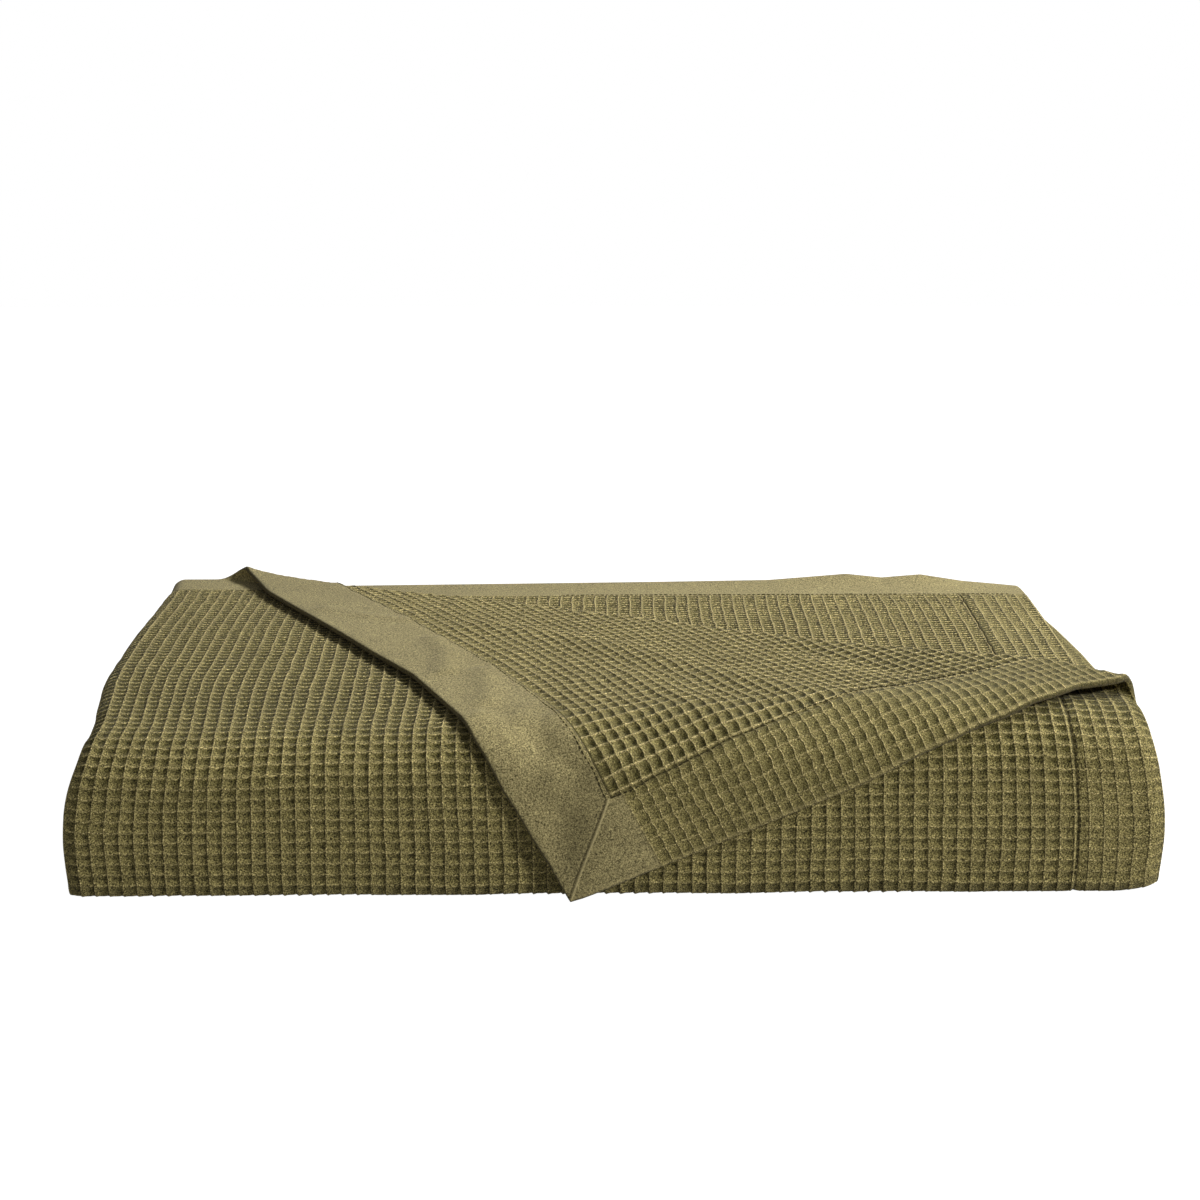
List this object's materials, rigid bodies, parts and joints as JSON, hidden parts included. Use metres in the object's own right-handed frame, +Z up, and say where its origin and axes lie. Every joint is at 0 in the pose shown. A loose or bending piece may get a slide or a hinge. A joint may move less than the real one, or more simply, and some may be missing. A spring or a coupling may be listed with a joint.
{
  "type": "folded waffle weave cotton blanket",
  "caption": "Waffle weave cotton blanket folded into a rectangular stack, its front rolled over and one hemmed corner turned back across the top.",
  "frame": {"origin": "middle of the footprint, on the surface that the stack rests on", "axes": "+X to the right along the folded width, +Y from the rolled front to the back edges, +Z up through the plies"},
  "size_m": [0.576, 0.3902, 0.1188],
  "materials": {
    "cotton": "matt olive cotton, deep square waffle cells with plain woven end bands"
  },
  "bodies": {
    "root": {"blanket": "cotton"}
  },
  "joints": []
}
